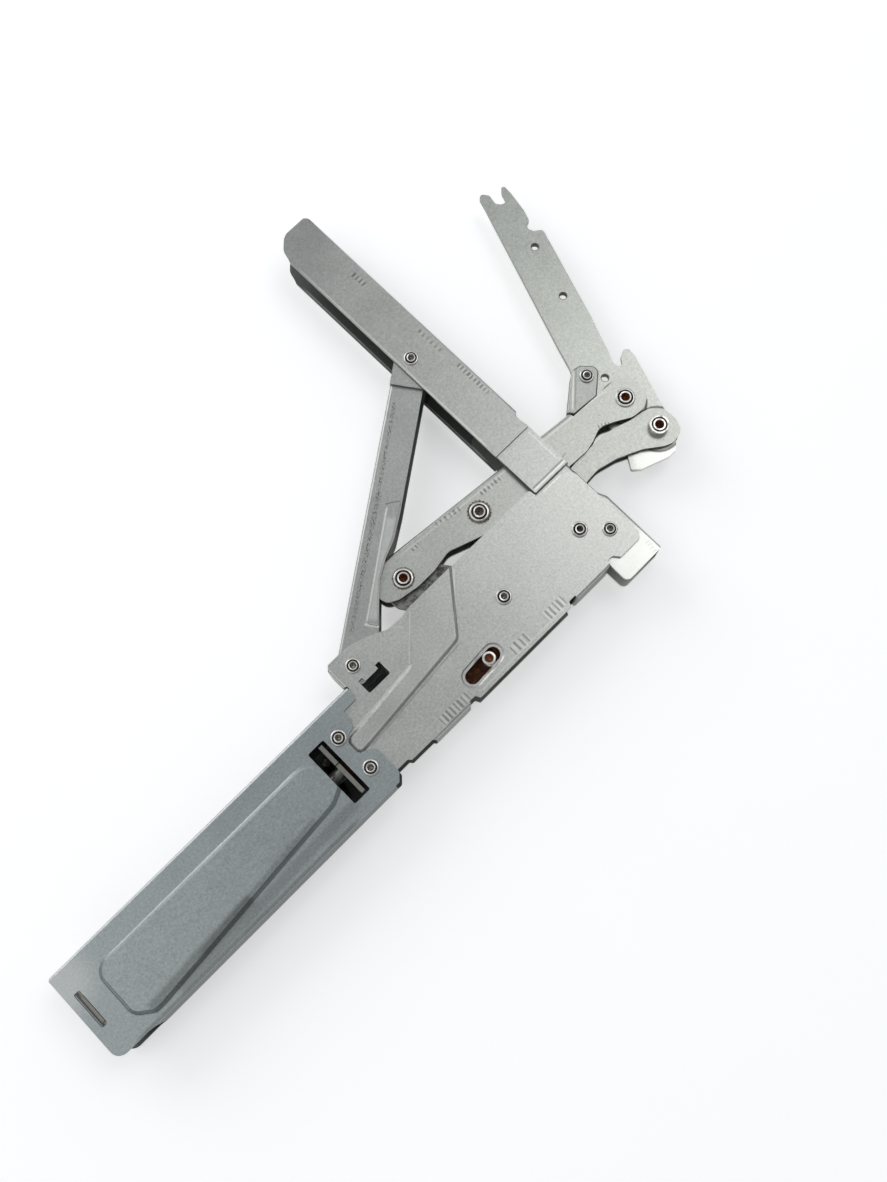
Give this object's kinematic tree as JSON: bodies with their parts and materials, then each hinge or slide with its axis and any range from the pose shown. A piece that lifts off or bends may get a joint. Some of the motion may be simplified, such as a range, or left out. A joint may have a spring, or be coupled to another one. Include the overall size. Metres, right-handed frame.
{
  "type": "oven door hinge",
  "caption": "Sprung oven door hinge of folded zinc-plated sheet: spring case and body, upright arm with strut, and a lever linkage that carries a hooked door blade.",
  "frame": {"origin": "middle of the flat front web of the bracket, on the mid-plane", "axes": "+X out of the front web, along the spring case; +Y along the arm; +Z across the hinge, up as it lies on its side"},
  "size_m": [0.3592, 0.2078, 0.0234],
  "materials": {
    "galvanised_case": "rolled zinc-plated sheet, fine dark specks",
    "galvanised_body": "rolled zinc-plated sheet, satin",
    "galvanised_bracket": "rolled zinc-plated sheet, satin",
    "galvanised_arm": "rolled zinc-plated sheet, satin",
    "galvanised_strut": "rolled zinc-plated sheet with bend scuffs",
    "galvanised_link": "zinc-plated sheet, handled and scuffed",
    "galvanised_clip": "zinc-plated sheet",
    "galvanised_inner": "zinc-plated sheet, greasy",
    "blade_steel": "zinc-plated plate",
    "lever_steel": "plain steel, greasy",
    "rusty_steel": "steel with rust in the slot",
    "spring_wire": "dark spring wire, greasy",
    "pin_steel": "turned steel, rust in the bores"
  },
  "bodies": {
    "frame": {"spring_case": "galvanised_case", "body_shell": "galvanised_body", "front_bracket": "galvanised_bracket", "arm_channel": "galvanised_arm", "strut": "galvanised_strut", "spring_anchor": "galvanised_inner", "main_spring": "spring_wire", "rear_lever_pin": "pin_steel", "front_lever_pin": "pin_steel", "bracket_rivet": "pin_steel", "strut_foot_rivet": "pin_steel", "strut_head_rivet": "pin_steel", "case_rivet_upper": "pin_steel", "case_rivet_lower": "pin_steel", "front_lever_spacer_front": "pin_steel", "front_lever_spacer_rear": "pin_steel", "rear_lever_spacer_front": "pin_steel", "rear_lever_spacer_rear": "pin_steel"},
    "front_lever_body": {"front_lever": "lever_steel"},
    "rear_lever_body": {"rear_lever": "lever_steel", "crank_pin": "pin_steel"},
    "upper_link_body": {"upper_link": "galvanised_link", "rear_link_pin": "pin_steel", "front_link_pin": "pin_steel", "blade_pin": "pin_steel", "rear_link_spacer_front": "pin_steel", "rear_link_spacer_rear": "pin_steel", "front_link_spacer_front": "pin_steel", "front_link_spacer_rear": "pin_steel", "blade_spacer_front": "pin_steel", "blade_spacer_rear": "pin_steel"},
    "lower_link_body": {"lower_link_front": "galvanised_link", "lower_link_rear": "galvanised_link", "tail_pin": "pin_steel"},
    "blade_body": {"door_blade": "blade_steel", "clip_pin": "pin_steel"},
    "clip_body": {"lock_clip": "galvanised_clip"},
    "slide_body": {"slide_pin": "pin_steel"},
    "thrust_body": {"thrust_link_front": "lever_steel", "thrust_link_rear": "lever_steel"},
    "rod_body": {"push_rod": "rusty_steel"},
    "seat_body": {"spring_seat": "galvanised_inner", "guide_rod": "lever_steel"}
  },
  "joints": [
    {"name": "front_lever_swing", "type": "hinge", "parent": "frame", "child": "front_lever_body", "pos_m": [-0.0188, 0.01314, 0], "axis": [0, 0, 1], "range_deg": [-23.49, 0.5]},
    {"name": "rear_lever_swing", "type": "hinge", "parent": "frame", "child": "rear_lever_body", "pos_m": [-0.0602, 0.0153, 0], "axis": [0, 0, 1], "range_deg": [-23.49, 0.5]},
    {"name": "upper_link_swing", "type": "hinge", "parent": "front_lever_body", "child": "upper_link_body", "pos_m": [-0.0415, 0.0477, 0], "axis": [0, 0, 1], "range_deg": [-0.5, 23.49]},
    {"name": "door_swing", "type": "hinge", "parent": "upper_link_body", "child": "blade_body", "pos_m": [0.0363, 0.0394, 0], "axis": [0, 0, 1], "range_deg": [-70.5, 0], "stiffness_Nm_per_rad": 1.5, "springref_deg": 14.32},
    {"name": "clip_swing", "type": "hinge", "parent": "blade_body", "child": "clip_body", "pos_m": [0.03276, 0.05785, 0], "axis": [0, 0, 1], "range_deg": [0, 29]},
    {"name": "lower_link_swing", "type": "hinge", "parent": "frame", "child": "lower_link_body", "pos_m": [-0.0602, 0.0153, 0], "axis": [0, 0, 1], "range_deg": [-0.5, 10.82]},
    {"name": "slide_travel", "type": "slide", "parent": "frame", "child": "slide_body", "axis": [0.9981, 0.061, 0], "range_m": [-0.006, 0.0002]},
    {"name": "thrust_link_swing", "type": "hinge", "parent": "slide_body", "child": "thrust_body", "pos_m": [-0.08207, 0.00202, 0], "axis": [0, 0, 1], "range_deg": [-0.1, 0.9]},
    {"name": "push_rod_swing", "type": "hinge", "parent": "slide_body", "child": "rod_body", "pos_m": [-0.08207, 0.00202, 0], "axis": [0, 0, 1], "range_deg": [-0.4, 0.1]},
    {"name": "seat_travel", "type": "slide", "parent": "frame", "child": "seat_body", "axis": [1, 0, 0], "range_m": [-0.006, 0.0002], "deforming": ["main_spring"]}
  ],
  "couplings": [
    {"joint": "front_lever_swing", "follows": "door_swing", "ratio": 0.32607},
    {"joint": "rear_lever_swing", "follows": "door_swing", "ratio": 0.32607},
    {"joint": "upper_link_swing", "follows": "door_swing", "ratio": -0.32607},
    {"joint": "lower_link_swing", "follows": "door_swing", "ratio": -0.14636},
    {"joint": "slide_travel", "follows": "door_swing", "m_per_rad": 0.004645},
    {"joint": "thrust_link_swing", "follows": "door_swing", "ratio": -0.010766},
    {"joint": "push_rod_swing", "follows": "door_swing", "ratio": 0.00402},
    {"joint": "seat_travel", "follows": "door_swing", "m_per_rad": 0.004598}
  ]
}
